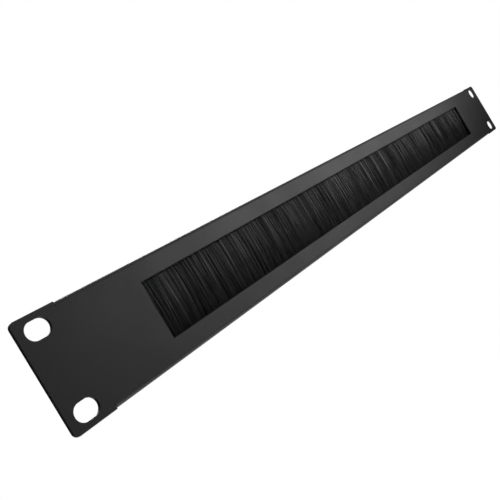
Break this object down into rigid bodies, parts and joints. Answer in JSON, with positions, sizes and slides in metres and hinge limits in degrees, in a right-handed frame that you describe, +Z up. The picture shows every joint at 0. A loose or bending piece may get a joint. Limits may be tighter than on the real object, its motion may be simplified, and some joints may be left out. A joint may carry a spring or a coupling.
{
  "type": "rack brush strip panel",
  "caption": "Rack-width black steel panel, one unit high, with a long window closed by a row of bristles that cables pass through.",
  "frame": {"origin": "centre of the four mounting slots, in the plane of the front face", "axes": "+X along the panel to the right as seen from the front, +Z up, and -Y out of the front face towards the user; the flanges and the brush are behind the face, towards +Y"},
  "size_m": [0.4826, 0.016, 0.0438],
  "materials": {
    "black_powder_coat": "satin black powder coat on folded steel sheet, with a fine orange-peel texture",
    "mill_aluminium": "extruded aluminium, mill finish, with fine lines along its length",
    "galvanised_strip": "galvanised steel strip, dull",
    "bright_wire": "drawn steel wire",
    "black_filament": "black nylon filaments, slightly glossy along their length",
    "coppered_steel": "copper-flashed steel stud",
    "zinc_plate": "bright zinc plate"
  },
  "bodies": {
    "root": {"front_panel": "black_powder_coat", "brush_holder": "mill_aluminium", "strip_channel": "galvanised_strip", "core_wire": "bright_wire", "bristles": "black_filament", "weld_stud_1": "coppered_steel", "weld_stud_2": "coppered_steel", "weld_stud_3": "coppered_steel", "weld_stud_4": "coppered_steel", "weld_stud_5": "coppered_steel", "weld_stud_6": "coppered_steel", "weld_stud_7": "coppered_steel", "washer_1": "zinc_plate", "washer_2": "zinc_plate", "washer_3": "zinc_plate", "washer_4": "zinc_plate", "washer_5": "zinc_plate", "washer_6": "zinc_plate", "washer_7": "zinc_plate", "nut_1": "zinc_plate", "nut_2": "zinc_plate", "nut_3": "zinc_plate", "nut_4": "zinc_plate", "nut_5": "zinc_plate", "nut_6": "zinc_plate", "nut_7": "zinc_plate"}
  },
  "joints": []
}
